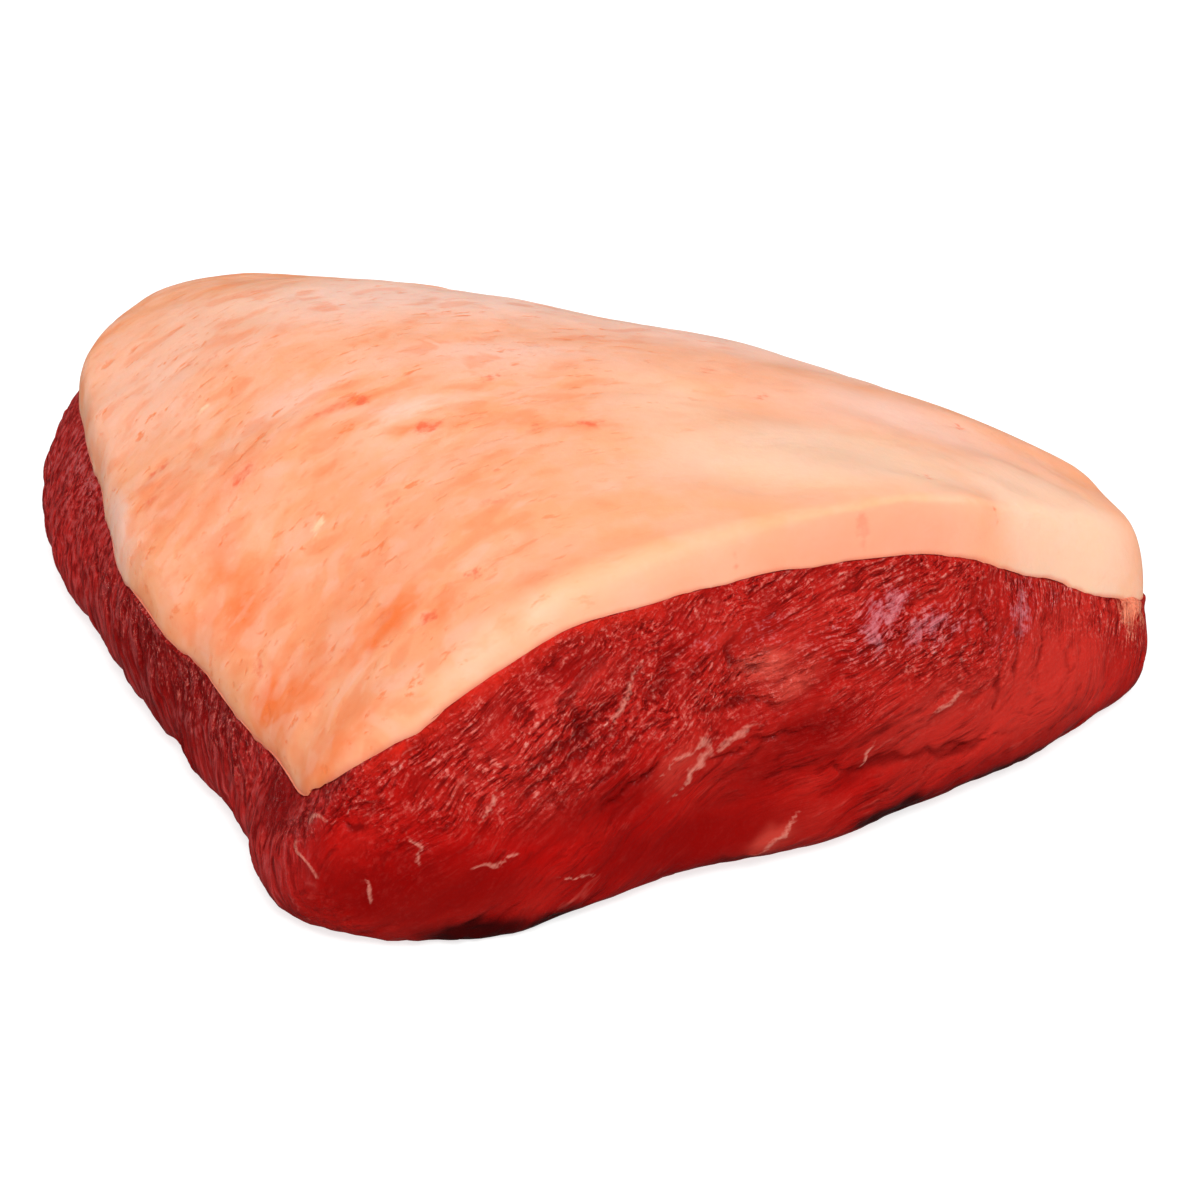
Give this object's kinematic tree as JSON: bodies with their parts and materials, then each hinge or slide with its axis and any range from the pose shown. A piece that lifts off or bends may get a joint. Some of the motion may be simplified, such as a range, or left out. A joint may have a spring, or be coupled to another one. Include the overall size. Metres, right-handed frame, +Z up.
{
  "type": "picanha",
  "caption": "Raw beef rump cap: a rounded three-cornered wedge of red lean meat with a thick domed cap of fat over its whole top.",
  "frame": {"origin": "centre of the bounding box on the flat underside", "axes": "+Z up through the fat cap; +X towards the narrow tip; -Y faces the tall cut side"},
  "size_m": [0.2212, 0.2072, 0.0635],
  "materials": {
    "lean": "wet raw beef, dark red to crimson, with paler fibres and veins and patches of silverskin",
    "fat": "smooth raw beef fat, cream at the cut side to peach and orange, softly mottled"
  },
  "bodies": {
    "root": {"lean_meat": "lean", "fat_cap": "fat"}
  },
  "joints": []
}
